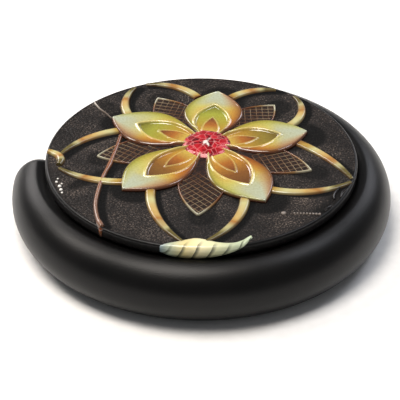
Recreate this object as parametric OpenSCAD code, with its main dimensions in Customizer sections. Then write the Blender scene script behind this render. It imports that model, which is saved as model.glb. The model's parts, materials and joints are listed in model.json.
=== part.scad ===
// Folding bag hook, shown closed: a decorated disc with a C-shaped arm tucked under its rim.
// The disc rests on a table top. The arm swings down on a hinge below the disc's rim, and the
// bag's strap hangs in the arm. Millimetres, +Z up, with the origin on the table below the
// centre of the disc. Angles in the plane of the disc are in degrees from +X.

/* [Disc] */
// Radius of the decorated disc
disc_r = 19.6; // [19.4:0.05:19.7]
// Height of the decorated face above the table
face_z = 9.4; // [9.4:0.1:9.8]
// Thickness of the embossed skin
skin_t = 0.3; // [0.2:0.05:0.4]
// Thickness of the plate that carries the skin
plate_t = 1.0; // [0.9:0.1:1.2]
// Bevel along the upper edge of the skin
edge_bevel = 0.35; // [0.2:0.05:0.4]

/* [Body] */
// Radius of the cast body below the plate
body_r = 17.0; // [16.4:0.1:17.1]
// Gap between the table and the rim of the body
body_lift = 0.7; // [0.5:0.1:0.9]
// Thickness of the rubber pad
pad_t = 1.2; // [1.0:0.1:1.4]
// Radius of the rubber pad
pad_r = 15.0; // [13.5:0.1:15.1]
// Thickness of the bottom cover
cover_t = 1.0; // [0.8:0.1:1.1]

/* [Arm] */
// Radius of each side of the arm's oval section
rod_r = 4.1; // [4.0:0.02:4.1]
// Outer radius of the arm
arm_outer_r = 24; // [23.8:0.1:24.2]
// Radius of the arm's centre line
arm_mid_r = 20.65; // [20.6:0.05:20.8]
// Direction of the arm's rounded free end
tip_angle = 177.6; // [172:0.2:178]

/* [Hinge] */
// Direction of the hinge from the centre of the disc
hinge_angle = 110; // [108:1:112]
// Angle through which the arm swings down
swing = 60; // [45:1:60]
// Distance of the hinge pin from the centre of the disc
pin_dist = 21.6; // [21.5:0.05:21.7]
// Radius of the hinge pin
pin_r = 0.7; // [0.6:0.05:0.75]

/* [Ornament] */
// Width of the gold ribbons
ribbon_w = 1.1; // [0.8:0.1:1.3]
// Height of the petals above the skin
petal_h = 0.55; // [0.4:0.05:0.6]
// Height of the gem above the skin
gem_h = 0.8; // [0.7:0.05:1.0]

/* [Hidden] */
$fn = 96;
tiny = 0.02;          // assembly gap between parts of one body
past = 1;             // how far a cutter runs past what it cuts

// Heights of the stack, from the table up
cover_z = pad_t;
cavity_z = cover_z + cover_t;
plate_z = face_z - skin_t - plate_t;
tape_t = 0.2;
body_top = plate_z - tape_t;
plate_r = disc_r - skin_t;

// Arm: an upright oval section, bounded by two arcs
rod_z = rod_r;
side_centre = rod_r - (arm_outer_r - arm_mid_r);  // from the centre line to each arc's centre
block_half = 9;       // half of the angle that the hinge block covers
block_r = rod_r - 0.25;
sleeve_end = hinge_angle + 360 - block_half;
bar_t = 1.8;
bar_in = arm_mid_r - bar_t / 2;
bar_h = 4;
hook_magnet_r = 1.5;
hook_magnet_t = 1.5;
hook_magnet_out = arm_mid_r - 1.25;

// Hinge
tongue_half = 1.5;
slot_half = tongue_half + 0.2;
knuckle_r = 1.35;
knuckle_gap = 0.12;
pin_half = 3.2;
running = 0.05;       // radial clearance of the pin in the bracket
foot_in = 9.6;
foot_out = 15.2;
foot_half = 4.4;
foot_t = 1.4;
foot_z = rod_z + 0.35;
screw_r = 0.8;
head_r = 1.3;
head_t = 0.6;
foot_screw_dist = 12.4;
foot_screw_side = 3.0;

// Body
cavity_r = 9;
cover_r = pad_r + 0.2;
cover_screw_dist = 12.2;
cover_screw_turns = [60, 180, 300];
magnet_r = 1.5;
magnet_t = 2;
magnet_out = body_r - 0.1;

// Ornament: the flower's centre, then each petal's and leaf's tip, on the face
flower_centre = [0.7, 2.7];
gem_r = 3.1;
petal_tips = [[2.2, 15.5], [13.6, 5.6], [7.8, -10.3], [-9.7, -7.7], [-11.6, 9.0]];
petal_w = 7.6;
lace_tips = [[-0.4, -13.0], [13.7, -3.2], [9.6, 12.2], [-5.8, 14.0], [-13.1, 0]];
lace_w = 6.2;
lace_h = 0.25;
ribbon_h = 0.3;
// Each ribbon is an arc through three points of the face
ribbon_arcs = [
    [[-6.3, -8.3], [-5.1, -13.8], [-2.5, -18.0]], [[5.3, -9.6], [4.2, -13.8], [0.6, -18.0]],
    [[12.9, 2.7], [16.4, -1.1], [18.3, -4.6]], [[8.6, -7.5], [13.2, -7.9], [17.9, -5.9]],
    [[11.7, 8.3], [13.1, 11.7], [12.3, 14.3]], [[4.0, 14.3], [6.4, 15.8], [9.6, 16.2]],
    [[-9.9, 10.7], [-10.2, 13.8], [-9.1, 16.6]], [[-7.0, 17.5], [-3.6, 17.0], [-0.5, 14.3]],
    [[-11.4, 5.6], [-14.9, 3.9], [-17.8, 0.4]], [[-17.6, -2.4], [-14.4, -4.8], [-10.3, -5.5]]];
bead_at = [-17.9, -1.0];
bead_r = 0.9;
twig_arcs = [[[-11.1, 4.4], [-12.7, -6.0], [-11.6, -14.9]], [[-14.0, 12.8], [-13.1, 10.6], [-11.7, 9.0]]];
twig_w = 0.6;
twig_h = 0.35;
wing_from = 257;
wing_to = 287;
wing_t = 0.12;
wing_in = 17.4;
wing_low = 1.2;
wing_circle = [0.6, -26.5];
wing_circle_r = 9;

// Centre of the circle through three points
function circle_centre(a, b, c) =
    let (p = b - a, q = c - a, w = 2 * (p.x * q.y - p.y * q.x), u = p * p, v = q * q)
    a + [q.y * u - p.y * v, p.x * v - q.x * u] / w;

// A strip with a square section along the arc through three points
module arc_strip(points, width, height) {
    centre = circle_centre(points[0], points[1], points[2]);
    r = norm(points[0] - centre);
    first = points[0] - centre;
    last = points[2] - centre;
    start = first.x * last.y > first.y * last.x ? first : last;
    turn = acos(first * last / (r * r));
    translate([centre.x, centre.y, face_z])
        rotate([0, 0, atan2(start.y, start.x)])
            rotate_extrude(angle = turn) translate([r - width / 2, 0]) square([width, height]);
}

// A pointed leaf from one point to another, bounded by two arcs
module leaf(from, to, width, height) {
    half = norm(to - from) / 2;
    r = (half * half + width * width / 4) / width;
    translate([from.x, from.y, face_z])
        rotate([0, 0, atan2(to.y - from.y, to.x - from.x)])
            linear_extrude(height) intersection() {
                translate([half, r - width / 2]) circle(r = r);
                translate([half, width / 2 - r]) circle(r = r);
            }
}

// The arm's section: an upright oval between two arcs
module rod_section(r) {
    intersection_for(side = [-1, 1]) translate([arm_mid_r + side * side_centre, rod_z]) circle(r = r);
}

// Puts a child drawn along +X into the hinge's direction
module at_hinge(turn = 0) {
    rotate([0, 0, hinge_angle + turn]) children();
}

// A cylinder along Y, centred on the hinge pin
module across_hinge(r, half) {
    at_hinge() translate([pin_dist, 0, rod_z]) rotate([90, 0, 0]) cylinder(r = r, h = 2 * half, center = true);
}

// A cylinder that lies along the radius at the arm's tip, from one distance to another
module along_tip(r, from, to) {
    rotate([0, 0, tip_angle]) translate([from, 0, rod_z]) rotate([0, 90, 0]) cylinder(r = r, h = to - from);
}

module face_plate() {
    color("dimgray") translate([0, 0, plate_z]) cylinder(r = plate_r, h = plate_t);
}

module face_skin() {
    color("#2b2422") rotate_extrude() polygon([
        [0, face_z - skin_t], [plate_r, face_z - skin_t], [plate_r, plate_z], [disc_r - 0.1, plate_z],
        [disc_r, plate_z + 0.1], [disc_r, face_z - edge_bevel], [disc_r - edge_bevel, face_z], [0, face_z]]);
}

module petals(height = petal_h) {
    for (tip = petal_tips) leaf(flower_centre, tip, petal_w, height);
}

module gem_space() {
    translate([flower_centre.x, flower_centre.y, 0]) cylinder(r = gem_r + tiny, h = face_z + past);
}

module flower_petals() {
    color("#d8b45a") difference() {
        petals();
        gem_space();
    }
}

module flower_gem() {
    color("#c3283a") translate([flower_centre.x, flower_centre.y, face_z])
        rotate_extrude() polygon([[0, 0], [gem_r, 0], [gem_r, gem_h / 3], [gem_r / 2, gem_h], [0, gem_h]]);
}

module twig_strips(width = twig_w, height = twig_h) {
    for (points = twig_arcs) arc_strip(points, width, height);
}

module twigs() {
    color("#9a5a3a") difference() {
        twig_strips();
        petals(past);
        gem_space();
    }
}

module lace_leaves() {
    color("#5a3a26") difference() {
        for (tip = lace_tips) leaf(flower_centre, tip, lace_w, lace_h);
        petals(past);
        gem_space();
        twig_strips(twig_w + 2 * tiny, past);
    }
}

module wing_leaf() {
    color("#e8dcb8") intersection() {
        rotate([0, 0, wing_from]) rotate_extrude(angle = wing_to - wing_from) polygon([
            [wing_in, face_z], [disc_r - edge_bevel, face_z], [disc_r, face_z - edge_bevel],
            [disc_r, face_z - wing_low], [disc_r + wing_t, face_z - wing_low],
            [disc_r + wing_t, face_z - edge_bevel + wing_t / 2], [disc_r - edge_bevel + wing_t / 2, face_z + wing_t],
            [wing_in, face_z + wing_t]]);
        translate([wing_circle.x, wing_circle.y, 0]) cylinder(r = wing_circle_r, h = face_z + past);
    }
}

module ribbon_loops() {
    color("#b88a2e") difference() {
        union() {
            for (points = ribbon_arcs) arc_strip(points, ribbon_w, ribbon_h);
            translate([bead_at.x, bead_at.y, face_z]) cylinder(r = bead_r, h = ribbon_h + 0.1);
        }
        petals(past);
        for (tip = lace_tips) leaf(flower_centre, tip, lace_w, past);
        twig_strips(twig_w + 2 * tiny, past);
        translate([wing_circle.x, wing_circle.y, 0]) cylinder(r = wing_circle_r + tiny, h = face_z + past);
    }
}

module plate_tape() {
    color("white") translate([0, 0, body_top]) cylinder(r = body_r - 0.6, h = tape_t);
}

module housing() {
    color("#3a3a3c") difference() {
        translate([0, 0, body_lift]) cylinder(r = body_r, h = body_top - body_lift);
        // recess of the cover and the pad, then the hollow above it
        translate([0, 0, body_lift - past]) cylinder(r = cover_r + 0.2, h = cavity_z - body_lift + past);
        translate([0, 0, cavity_z - past]) cylinder(r = cavity_r, h = foot_z + foot_t - cavity_z + past);
        // pocket and slot of the hinge bracket
        at_hinge() {
            translate([foot_in - 2 * past, -foot_half - 0.1, cavity_z - past])
                cube([foot_out - foot_in + 2 * past + 0.1, 2 * foot_half + 0.2, foot_z + foot_t - cavity_z + past]);
            translate([foot_in, -tongue_half - 0.1, 0])
                cube([body_r, 2 * tongue_half + 0.2, rod_z + knuckle_r + 0.1]);
            for (side = [-1, 1]) translate([foot_screw_dist, side * foot_screw_side, foot_z])
                cylinder(r = screw_r + tiny, h = foot_t + 1.3);
        }
        for (turn = cover_screw_turns) at_hinge(turn) translate([cover_screw_dist, 0, cavity_z - past])
            cylinder(r = screw_r + tiny, h = past + 3.8);
        along_tip(magnet_r + tiny, magnet_out - magnet_t - 0.1, body_r + past);
    }
}

module hinge_bracket() {
    color("silver") difference() {
        union() {
            at_hinge() {
                translate([foot_in, -tongue_half, rod_z - knuckle_r])
                    cube([pin_dist - foot_in, 2 * tongue_half, 2 * knuckle_r]);
                translate([foot_in, -foot_half, foot_z]) cube([foot_out - foot_in, 2 * foot_half, foot_t]);
            }
            across_hinge(knuckle_r, tongue_half);
        }
        across_hinge(pin_r + running, tongue_half + past);
        at_hinge() for (side = [-1, 1]) translate([foot_screw_dist, side * foot_screw_side, foot_z - past])
            cylinder(r = screw_r + tiny, h = foot_t + 2 * past);
    }
}

module bracket_screws() {
    color("lightgray") at_hinge() for (side = [-1, 1])
        translate([foot_screw_dist, side * foot_screw_side, foot_z]) {
            cylinder(r = screw_r, h = foot_t + 1.1);
            translate([0, 0, -head_t]) cylinder(r = head_r, h = head_t);
        }
}

module catch_magnet() {
    color("gray") along_tip(magnet_r, magnet_out - magnet_t, magnet_out);
}

module bottom_cover() {
    color("#333333") difference() {
        translate([0, 0, cover_z]) cylinder(r = cover_r, h = cover_t);
        for (turn = cover_screw_turns) at_hinge(turn) translate([cover_screw_dist, 0, 0]) {
            cylinder(r = screw_r + tiny, h = cavity_z + past);
            cylinder(r = head_r + tiny, h = cover_z + head_t);
        }
    }
}

module cover_screws() {
    color("lightgray") for (turn = cover_screw_turns) at_hinge(turn)
        translate([cover_screw_dist, 0, cover_z]) {
            cylinder(r = head_r, h = head_t);
            cylinder(r = screw_r, h = cover_t + 3.5);
        }
}

module rubber_pad() {
    color("#1c1c1c") cylinder(r = pad_r, h = pad_t);
}

module core_bar(gap = 0) {
    from = tip_angle + 6;
    rotate([0, 0, from]) rotate_extrude(angle = sleeve_end + 1 - from)
        translate([bar_in - gap, rod_z - bar_h / 2 - gap]) square([bar_t + 2 * gap, bar_h + 2 * gap]);
}

module hook_core() {
    color("#2c2c2e") difference() {
        union() {
            core_bar();
            rotate([0, 0, sleeve_end]) rotate_extrude(angle = 2 * block_half) rod_section(block_r);
        }
        // slot for the bracket's tongue, which ends where the arm stops
        across_hinge(knuckle_r + knuckle_gap, slot_half);
        at_hinge() translate([pin_dist, slot_half, rod_z]) rotate([90, 0, 0]) linear_extrude(2 * slot_half)
            tongue_sweep(knuckle_r + knuckle_gap, 3 * rod_r);
        across_hinge(pin_r + tiny, pin_half);
    }
}

// Side view of the space that the tongue needs round the pin as the arm swings
module tongue_sweep(half, reach) {
    polygon([[-reach, -half], [0, -half], half * [sin(swing), cos(swing)],
             half * [sin(swing), cos(swing)] + reach * [-cos(swing), sin(swing)], [-reach, reach]]);
}

module hook_sleeve() {
    color("#1a1a1b") difference() {
        union() {
            rotate([0, 0, tip_angle]) {
                rotate_extrude(angle = sleeve_end - tip_angle) rod_section(rod_r);
                translate([arm_mid_r, 0, 0]) rotate([0, 0, -90]) rotate_extrude() intersection() {
                    translate([-arm_mid_r, 0]) rod_section(rod_r);
                    square(2 * rod_r);
                }
            }
        }
        core_bar();
        along_tip(hook_magnet_r + tiny, hook_magnet_out - hook_magnet_t - tiny, hook_magnet_out + tiny);
    }
}

module hook_magnet() {
    color("gray") along_tip(hook_magnet_r, hook_magnet_out - hook_magnet_t, hook_magnet_out);
}

module hinge_pin() {
    color("silver") across_hinge(pin_r, pin_half - tiny);
}

module hinge_washers() {
    washer_t = slot_half - tongue_half - 2 * tiny;
    color("ivory") for (side = [-1, 1]) at_hinge()
        translate([pin_dist, side * (tongue_half + slot_half) / 2, rod_z]) rotate([90, 0, 0]) difference() {
            cylinder(r = knuckle_r - 0.05, h = washer_t, center = true);
            cylinder(r = pin_r + tiny, h = washer_t + past, center = true);
        }
}

face_plate();
face_skin();
ribbon_loops();
lace_leaves();
flower_petals();
flower_gem();
twigs();
wing_leaf();
plate_tape();
housing();
hinge_bracket();
bracket_screws();
catch_magnet();
bottom_cover();
cover_screws();
rubber_pad();
hook_core();
hook_sleeve();
hook_magnet();
hinge_pin();
hinge_washers();
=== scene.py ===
"""Folding bag hook, closed: looks for the decorated disc and the soft-touch arm round it.

Shapes are worked out in millimetres in the CAD frame (origin on the table below the disc's centre,
+Z up) and scaled to metres when a mesh is made. Angles round the disc are in degrees from +X.
"""
import json
import math

import bmesh
import bpy
import numpy as np
from mathutils import Matrix, Vector, noise


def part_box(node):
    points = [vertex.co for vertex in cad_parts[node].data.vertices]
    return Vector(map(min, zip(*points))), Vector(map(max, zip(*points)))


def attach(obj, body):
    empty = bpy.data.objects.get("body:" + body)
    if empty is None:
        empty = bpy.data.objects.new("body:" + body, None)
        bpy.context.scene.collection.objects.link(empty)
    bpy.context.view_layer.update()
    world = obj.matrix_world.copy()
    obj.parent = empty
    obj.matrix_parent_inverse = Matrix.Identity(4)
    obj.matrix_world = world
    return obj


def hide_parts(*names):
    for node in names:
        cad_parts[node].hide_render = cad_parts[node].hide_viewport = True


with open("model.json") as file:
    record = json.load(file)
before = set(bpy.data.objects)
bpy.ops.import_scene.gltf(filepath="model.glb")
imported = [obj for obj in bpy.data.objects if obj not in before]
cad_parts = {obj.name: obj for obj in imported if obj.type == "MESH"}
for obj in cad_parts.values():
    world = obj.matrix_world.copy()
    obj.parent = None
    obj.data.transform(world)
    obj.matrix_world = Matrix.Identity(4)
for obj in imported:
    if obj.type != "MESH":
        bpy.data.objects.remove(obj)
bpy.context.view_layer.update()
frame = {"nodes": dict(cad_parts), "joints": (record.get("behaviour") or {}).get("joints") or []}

MM = 0.001

# ---------------------------------------------------------------- sizes taken from the frame


def box_mm(node):
    """Lowest and highest corner of a CAD node, in millimetres."""
    low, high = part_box(node)
    return low / MM, high / MM


skin_low, skin_high = box_mm("face_skin")
sleeve_low, sleeve_high = box_mm("hook_sleeve")
pad_low, pad_high = box_mm("rubber_pad")
magnet_low, magnet_high = box_mm("hook_magnet")
hinge = Vector(frame["joints"][0]["pos_m"]) / MM

DISC_R = (skin_high.x - skin_low.x) / 2
FACE_Z = skin_high.z
SKIN_LOW = skin_low.z
ARM_R = sleeve_high.x
ARM_Z = (sleeve_low.z + sleeve_high.z) / 2
ROD_R = ARM_Z            # radius of each side of the arm's oval section
OVAL_HALF = 3.35         # half of the section's width
OVAL_RIDGE = 1.0         # rounding where the section's two sides meet
ARM_MID = ARM_R - OVAL_HALF
HINGE_ANGLE = math.degrees(math.atan2(hinge.y, hinge.x))
tip_middle = (magnet_low + magnet_high) / 2
TIP_ANGLE = math.degrees(math.atan2(tip_middle.y, tip_middle.x))
BLOCK_HALF = 9.0         # half of the angle that the steel hinge block covers
SLEEVE_END = HINGE_ANGLE + 360 - BLOCK_HALF
EDGE_ROUND = 0.36        # rounding of the skin over the plate's upper edge
SINK = 0.03              # how far raised ornament is bedded in the skin

# ---------------------------------------------------------------- ornament, points on the face

FLOWER = Vector((0.7, 2.7))
GEM_R = 3.15
GEM_H = 0.8
PETAL_HALF = 3.95
# tip of each petal, then how green its inner cups are
PETALS = [((2.2, 15.5), 1.0), ((13.6, 5.6), 0.45), ((7.8, -10.3), 0.1), ((-9.7, -7.7), 0.15), ((-11.6, 9.0), 0.9)]
LEAF_HALF = 3.0
LACE_TIPS = [(-0.4, -13.0), (13.7, -3.2), (9.6, 12.2), (-5.8, 14.0), (-13.1, 0.0)]
RIBBON_W = 1.35
# each ribbon is an arc through three points, from the flower out to the rim
RIBBONS = [
    ((-6.2, -7.6), (-5.1, -13.8), (-2.3, -18.2)), ((5.3, -8.9), (4.2, -13.8), (0.6, -18.2)),
    ((12.4, 3.1), (16.4, -1.1), (18.6, -5.0)), ((8.2, -7.3), (13.2, -7.9), (18.4, -5.7)),
    ((10.9, 6.9), (13.1, 11.7), (12.2, 14.6)), ((3.8, 14.1), (6.4, 15.8), (9.9, 16.2)),
    ((-9.1, 9.2), (-9.95, 13.8), (-8.8, 16.8)), ((-0.4, 14.2), (-3.6, 17.0), (-7.4, 17.6)),
    ((-10.0, 6.2), (-14.9, 3.9), (-17.8, 0.4)), ((-9.2, -5.7), (-14.4, -4.8), (-17.7, -2.6))]
KNOB = [(-19.3, 1.15), (-18.6, 0.75), (-17.95, 0.2), (-17.6, -0.8), (-17.75, -2.0)]
TWIG = [(-10.3, 4.9), (-10.8, 1.6), (-11.45, -1.8), (-12.3, -5.4), (-12.8, -10.1), (-12.45, -13.4), (-11.85, -15.3)]
TWIG_SIDE = 1.15         # how far the twig runs down the disc's side
VEIN = [(-14.0, 12.9), (-13.3, 11.5), (-12.4, 10.3), (-11.6, 9.0)]
DOTTED_FROM, DOTTED_TO = Vector((9.9, -12.4)), Vector((14.2, -12.6))
RIM_DROPS = [(195.6, 18.4, 0.13), (197.6, 18.7, 0.17), (199.4, 18.2, 0.13), (200.8, 18.6, 0.24), (203.2, 18.7, 0.22),
             (205.2, 18.8, 0.15)]

# ---------------------------------------------------------------- mesh making


def smooth_step(x, low, high):
    t = min(1.0, max(0.0, (x - low) / (high - low)))
    return t * t * (3 - 2 * t)


def put(name, data):
    """Adds an object to the scene."""
    made = bpy.data.objects.new(name, data)
    bpy.context.scene.collection.objects.link(made)
    return made


def make_piece(name, points, faces, materials, body, slot, stands_for=(), values=None, sharp=60, flat=False,
               face_material=None, weld=0.0005):
    """A mesh piece from points in millimetres. values maps an attribute's name to one number per point."""
    mesh = bpy.data.meshes.new(name)
    mesh.from_pydata([(x * MM, y * MM, z * MM) for x, y, z in points], [], faces)
    for key, numbers in (values or {}).items():
        mesh.attributes.new(key, "FLOAT", "POINT").data.foreach_set("value", np.array(numbers, np.float32))
    for made in materials:
        mesh.materials.append(made)
    if face_material:
        mesh.polygons.foreach_set("material_index", [face_material(p.center / MM) for p in mesh.polygons])
    work = bmesh.new()
    work.from_mesh(mesh)
    if weld:
        bmesh.ops.remove_doubles(work, verts=work.verts, dist=weld * MM)
        bmesh.ops.dissolve_degenerate(work, edges=work.edges, dist=weld * MM / 4)
    bmesh.ops.recalc_face_normals(work, faces=work.faces)
    work.to_mesh(mesh)
    work.free()
    mesh.polygons.foreach_set("use_smooth", [not flat] * len(mesh.polygons))
    if not flat:
        mesh.set_sharp_from_angle(angle=math.radians(sharp))
    piece = put(name, mesh)
    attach(piece, body)
    if stands_for:
        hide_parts(*stands_for)


class Shape:
    """Points, faces and per-point values of one piece while it is put together."""

    def __init__(self):
        self.points, self.faces, self.values = [], [], {}

    def add(self, points, faces, **values):
        start = len(self.points)
        self.points += [tuple(p) for p in points]
        self.faces += [tuple(start + i for i in f) for f in faces]
        for key, numbers in values.items():
            self.values.setdefault(key, []).extend(numbers)

    def loft(self, rings, caps=True, **values):
        """Skins closed rings with the same number of points each, and closes both ends if caps is set."""
        count = len(rings[0])
        points = [p for ring in rings for p in ring]
        faces = []
        for i in range(len(rings) - 1):
            a, b = i * count, (i + 1) * count
            faces += [(a + j, a + (j + 1) % count, b + (j + 1) % count, b + j) for j in range(count)]
        if caps:
            faces += [tuple(range(count)), tuple(range(len(points) - count, len(points)))]
        self.add(points, faces, **values)

    def piece(self, name, materials, body, slot, stands_for=(), **options):
        make_piece(name, self.points, self.faces, materials, body, slot, stands_for, self.values, **options)


def circle_points(radius, height, count, middle=(0.0, 0.0)):
    return [(middle[0] + radius * math.cos(2 * math.pi * i / count),
             middle[1] + radius * math.sin(2 * math.pi * i / count), height) for i in range(count)]


def lathe(profile, count):
    """Rings of a body turned about the disc's axis, from (radius, height) points."""
    return [circle_points(max(r, 0.001), z, count) for r, z in profile]


def arc_points(start, middle, end, count):
    """Points along the circular arc through three points of the face."""
    a, b, c = Vector(start), Vector(middle), Vector(end)
    p, q = b - a, c - a
    w = 2 * (p.x * q.y - p.y * q.x)
    centre = a + Vector((q.y * p.dot(p) - p.y * q.dot(q), p.x * q.dot(q) - q.x * p.dot(p))) / w
    first, last = a - centre, c - centre
    turn = math.atan2(first.x * last.y - first.y * last.x, first.dot(last))
    return [centre + Matrix.Rotation(turn * i / (count - 1), 2) @ first for i in range(count)]


def curve_points(stops, count):
    """A smooth curve through given stops, evenly divided."""
    stops = [Vector(s) for s in stops]
    ends = [2 * stops[0] - stops[1], *stops, 2 * stops[-1] - stops[-2]]
    fine = []
    for i in range(1, len(ends) - 2):
        a, b, c, d = ends[i - 1:i + 3]
        fine += [0.5 * (2 * b + (c - a) * t + (2 * a - 5 * b + 4 * c - d) * t * t + (3 * b - a - 3 * c + d) * t ** 3)
                 for t in (k / 12 for k in range(12))]
    fine.append(ends[-2])
    travelled = [0.0]
    for a, b in zip(fine, fine[1:]):
        travelled.append(travelled[-1] + (b - a).length)
    at = np.interp(np.linspace(0, travelled[-1], count), travelled, range(len(fine)))
    return [fine[int(x)].lerp(fine[min(int(x) + 1, len(fine) - 1)], x - int(x)) for x in at]


def rim_lift(x, y):
    """Height of the skin's surface at a point of the face: level, then falling away over the rounded edge."""
    over = math.hypot(x, y) - (DISC_R - EDGE_ROUND)
    if over <= 0:
        return FACE_Z
    return FACE_Z - EDGE_ROUND + math.sqrt(max(0.0, EDGE_ROUND ** 2 - min(over, EDGE_ROUND) ** 2))


def raised_strip(shape, path, width, height, steps=9, flat_top=0.0):
    """Adds a raised band along a path of the face. width and height are functions of the share of its length."""
    rings, along, across = [], [], []
    for i, middle in enumerate(path):
        share = i / (len(path) - 1)
        ahead, behind = path[min(i + 1, len(path) - 1)], path[max(i - 1, 0)]
        side = (ahead - behind).normalized()
        side = Vector((-side.y, side.x))
        half, top = width(share) / 2, height(share)
        ring = []
        for k in range(steps):
            v = -1 + 2 * k / (steps - 1)
            x, y = middle + side * half * v
            round_off = (1 - max(0.0, (abs(v) - flat_top) / (1 - flat_top)) ** 2.4) if abs(v) > flat_top else 1.0
            ring.append((x, y, rim_lift(x, y) + top * round_off - (SINK if abs(v) == 1 else 0)))
            along.append(share)
            across.append(v)
        rings.append(ring)
    shape.loft(rings, along=along, across=across)


def dome(shape, x, y, radius, height, count=12, rings=4):
    """Adds a small round drop that stands on the face."""
    base = rim_lift(x, y)
    layers = [circle_points(radius * math.cos(a), base - SINK + (height + SINK) * math.sin(a), count, (x, y))
              for a in (math.pi / 2 * k / rings for k in range(rings))]
    layers.append([(x, y, base + height)] * count)
    total = count * len(layers)
    shape.loft(layers, along=[0.5] * total, across=[0.0] * total)


# ---------------------------------------------------------------- materials


def rgb(code):
    """An sRGB hex colour as linear red, green, blue and alpha."""
    parts = [int(code[i:i + 2], 16) / 255 for i in (1, 3, 5)]
    return tuple(p / 12.92 if p <= 0.04045 else ((p + 0.055) / 1.055) ** 2.4 for p in parts) + (1.0,)


def link(tree, source, socket):
    """Links a socket to an output socket, or to the first output that a node has in use."""
    if isinstance(source, bpy.types.Node):
        source = next(output for output in source.outputs if output.enabled)
    tree.links.new(source, socket)


def add_node(tree, kind, inputs=None, stops=None, **settings):
    """Adds a shader node. inputs maps a socket's name or number to a value, a node or a node's output socket."""
    made = tree.nodes.new("ShaderNode" + kind)
    for key, value in settings.items():
        setattr(made, key, value)
    if stops:
        ramp = made.color_ramp
        while len(ramp.elements) < len(stops):
            ramp.elements.new(1.0)
        for element, (place, colour) in zip(ramp.elements, stops):
            element.position = place
            element.color = rgb(colour) if isinstance(colour, str) else (colour, colour, colour, 1)
    for key, value in (inputs or {}).items():
        socket = made.inputs[key]
        if isinstance(value, (bpy.types.NodeSocket, bpy.types.Node)):
            link(tree, value, socket)
        else:
            socket.default_value = value
    return made


def new_material(name, **surface):
    """A material with its shader's constants set. Returns it with its tree, shader and own coordinates."""
    made = bpy.data.materials.new(name)
    made.use_nodes = True
    tree = made.node_tree
    shader = tree.nodes["Principled BSDF"]
    for key, value in surface.items():
        shader.inputs[key.replace("_", " ")].default_value = value
    return made, tree, shader, add_node(tree, "TexCoord").outputs["Object"]


def drive(tree, shader, **sockets):
    """Links nodes to the shader's sockets, such as Base_Color or Normal."""
    for key, source in sockets.items():
        link(tree, source, shader.inputs[key.replace("_", " ")])


def raise_grain(tree, shader, where, size_mm, depth_mm, detail=2.0):
    """Fine noise whose grains stand up from the surface. Returns its value."""
    grain = add_node(tree, "TexNoise", {"Vector": where, "Scale": per_metre(size_mm), "Detail": detail})
    bump = add_node(tree, "Bump", {"Height": grain, "Distance": depth_mm * MM})
    drive(tree, shader, Normal=bump)
    return grain


def per_metre(millimetres):
    """Pattern scale that gives a feature of this size, with coordinates in metres."""
    return 1 / (millimetres * MM)


def soft_touch():
    """Soft-touch polyurethane over-mould: a broad dull sheen, faint mottling and a fine moulded tooth."""
    made, tree, shader, where = new_material("soft_touch_overmould", Roughness=0.36, Specular_IOR_Level=0.21,
                                             IOR=1.5)
    cloud = add_node(tree, "TexNoise", {"Vector": where, "Scale": per_metre(5), "Detail": 4.0})
    tint = add_node(tree, "ValToRGB", {"Fac": cloud}, [(0.3, "#050505"), (0.7, "#090808")])
    rough = add_node(tree, "MapRange", {"Value": cloud, "To Min": 0.33, "To Max": 0.39})
    drive(tree, shader, Base_Color=tint, Roughness=rough)
    raise_grain(tree, shader, where, 0.18, 0.012)
    return made


def leather_skin():
    """Embossed leather-look skin: brown-black, painted glints, a pebbled grain whose tops catch the light, dark
    painted shadows.
    """
    made, tree, shader, where = new_material("embossed_leather_skin", Roughness=0.5, Specular_IOR_Level=0.16,
                                             IOR=1.5)
    pebble = add_node(tree, "TexVoronoi", {"Vector": where, "Scale": per_metre(0.34)}, feature="SMOOTH_F1")
    fine = add_node(tree, "TexNoise", {"Vector": where, "Scale": per_metre(0.2), "Detail": 3.0})
    patch = add_node(tree, "TexNoise", {"Vector": where, "Scale": per_metre(3.5), "Detail": 3.0})
    # mottled tone whose palest specks are painted glints
    tone_and_glint = add_node(tree, "Math", {0: patch, 1: 0.35, 2: fine}, operation="MULTIPLY_ADD")
    speckle = add_node(tree, "ValToRGB", {"Fac": tone_and_glint},
                       [(0.5, "#0b0908"), (0.66, "#191513"), (0.78, "#2e2825"), (0.92, "#75695f")])
    # painted shadows: along the strokes the skin is darkened nearly to black and made duller
    shade = add_node(tree, "Attribute", attribute_name="shade").outputs["Fac"]
    shadowed = add_node(tree, "Mix", {0: shade, 6: speckle, 7: rgb("#020202")}, data_type="RGBA")
    rough = add_node(tree, "MapRange", {"Value": fine, "To Min": 0.6, "To Max": 0.36})
    matt = add_node(tree, "Math", {0: shade, 1: 0.4, 2: rough}, operation="MULTIPLY_ADD", use_clamp=True)
    grain = add_node(tree, "Math", {0: pebble, 1: fine}, operation="MULTIPLY")
    bump = add_node(tree, "Bump", {"Height": grain, "Distance": 0.2 * MM})
    drive(tree, shader, Base_Color=shadowed, Roughness=matt, Normal=bump)
    return made


def lacquered_edge():
    """Black lacquer poured over the cut edge: deep and smooth, with a soft gloss and a few dust specks."""
    made, tree, shader, where = new_material("black_lacquer_edge", Roughness=0.34, Specular_IOR_Level=0.22,
                                             IOR=1.5)
    dust = raise_grain(tree, shader, where, 0.4, 0.02)
    drive(tree, shader, Base_Color=add_node(tree, "ValToRGB", {"Fac": dust}, [(0.5, "#080707"), (0.8, "#1a1716")]))
    return made


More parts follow.
